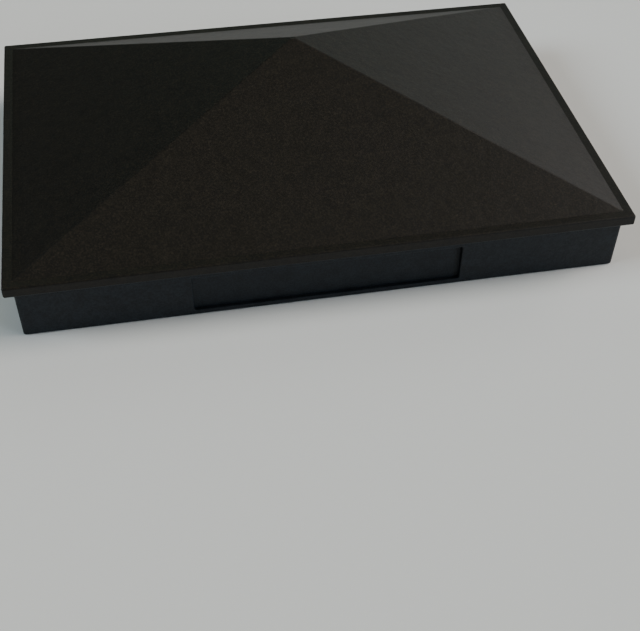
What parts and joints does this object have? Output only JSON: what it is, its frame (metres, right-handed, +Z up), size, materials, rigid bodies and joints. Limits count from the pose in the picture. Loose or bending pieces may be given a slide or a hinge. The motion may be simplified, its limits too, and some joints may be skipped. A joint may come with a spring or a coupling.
{
  "type": "fence post cap",
  "caption": "Black powder-coated pyramid cap for a rectangular wooden fence post, with a lipped skirt and a plain sunk panel, held by side screws with sealing washers.",
  "frame": {"origin": "centre of the skirt's open bottom", "axes": "+X along the long side, +Z up to the roof's tip, -Y the front with the sunk panel"},
  "size_m": [0.168, 0.1172, 0.0474],
  "materials": {
    "powder_coat": "cast aluminium under a satin black powder coat with fine orange peel",
    "screw_coating": "stainless steel screw with a baked satin black coating, worn at the thread crests",
    "washer_coating": "stamped steel cup washer with a satin black coating",
    "seal_rubber": "moulded black EPDM rubber",
    "pad_rubber": "die-cut charcoal EPDM rubber with a fine leather grain"
  },
  "bodies": {
    "cap": {"cap_body": "powder_coat", "seat_pad_left_front": "pad_rubber", "seat_pad_left_back": "pad_rubber", "seat_pad_right_front": "pad_rubber", "seat_pad_right_back": "pad_rubber"},
    "sealing_washer_left_front": {"washer_left_front": "washer_coating", "seal_left_front": "seal_rubber"},
    "screw_left_front": {"screw_left_front": "screw_coating"},
    "sealing_washer_left_back": {"washer_left_back": "washer_coating", "seal_left_back": "seal_rubber"},
    "screw_left_back": {"screw_left_back": "screw_coating"},
    "sealing_washer_right_front": {"washer_right_front": "washer_coating", "seal_right_front": "seal_rubber"},
    "screw_right_front": {"screw_right_front": "screw_coating"},
    "sealing_washer_right_back": {"washer_right_back": "washer_coating", "seal_right_back": "seal_rubber"},
    "screw_right_back": {"screw_right_back": "screw_coating"}
  },
  "joints": [
    {"name": "left_front_travel", "type": "slide", "parent": "cap", "child": "sealing_washer_left_front", "axis": [-1, 0, 0], "range_m": [0, 0.022]},
    {"name": "left_front_turn", "type": "hinge", "parent": "sealing_washer_left_front", "child": "screw_left_front", "pos_m": [-0.0812, -0.024, 0.008], "axis": [-1, 0, 0], "range_deg": [0, 2880]},
    {"name": "left_back_travel", "type": "slide", "parent": "cap", "child": "sealing_washer_left_back", "axis": [-1, 0, 0], "range_m": [0, 0.022]},
    {"name": "left_back_turn", "type": "hinge", "parent": "sealing_washer_left_back", "child": "screw_left_back", "pos_m": [-0.0812, 0.024, 0.008], "axis": [-1, 0, 0], "range_deg": [0, 2880]},
    {"name": "right_front_travel", "type": "slide", "parent": "cap", "child": "sealing_washer_right_front", "axis": [1, 0, 0], "range_m": [0, 0.022]},
    {"name": "right_front_turn", "type": "hinge", "parent": "sealing_washer_right_front", "child": "screw_right_front", "pos_m": [0.0812, -0.024, 0.008], "axis": [1, 0, 0], "range_deg": [0, 2880]},
    {"name": "right_back_travel", "type": "slide", "parent": "cap", "child": "sealing_washer_right_back", "axis": [1, 0, 0], "range_m": [0, 0.022]},
    {"name": "right_back_turn", "type": "hinge", "parent": "sealing_washer_right_back", "child": "screw_right_back", "pos_m": [0.0812, 0.024, 0.008], "axis": [1, 0, 0], "range_deg": [0, 2880]}
  ],
  "couplings": [
    {"joint": "left_front_turn", "follows": "left_front_travel", "rad_per_m": 2284.8},
    {"joint": "left_back_turn", "follows": "left_back_travel", "rad_per_m": 2284.8},
    {"joint": "right_front_turn", "follows": "right_front_travel", "rad_per_m": 2284.8},
    {"joint": "right_back_turn", "follows": "right_back_travel", "rad_per_m": 2284.8}
  ]
}
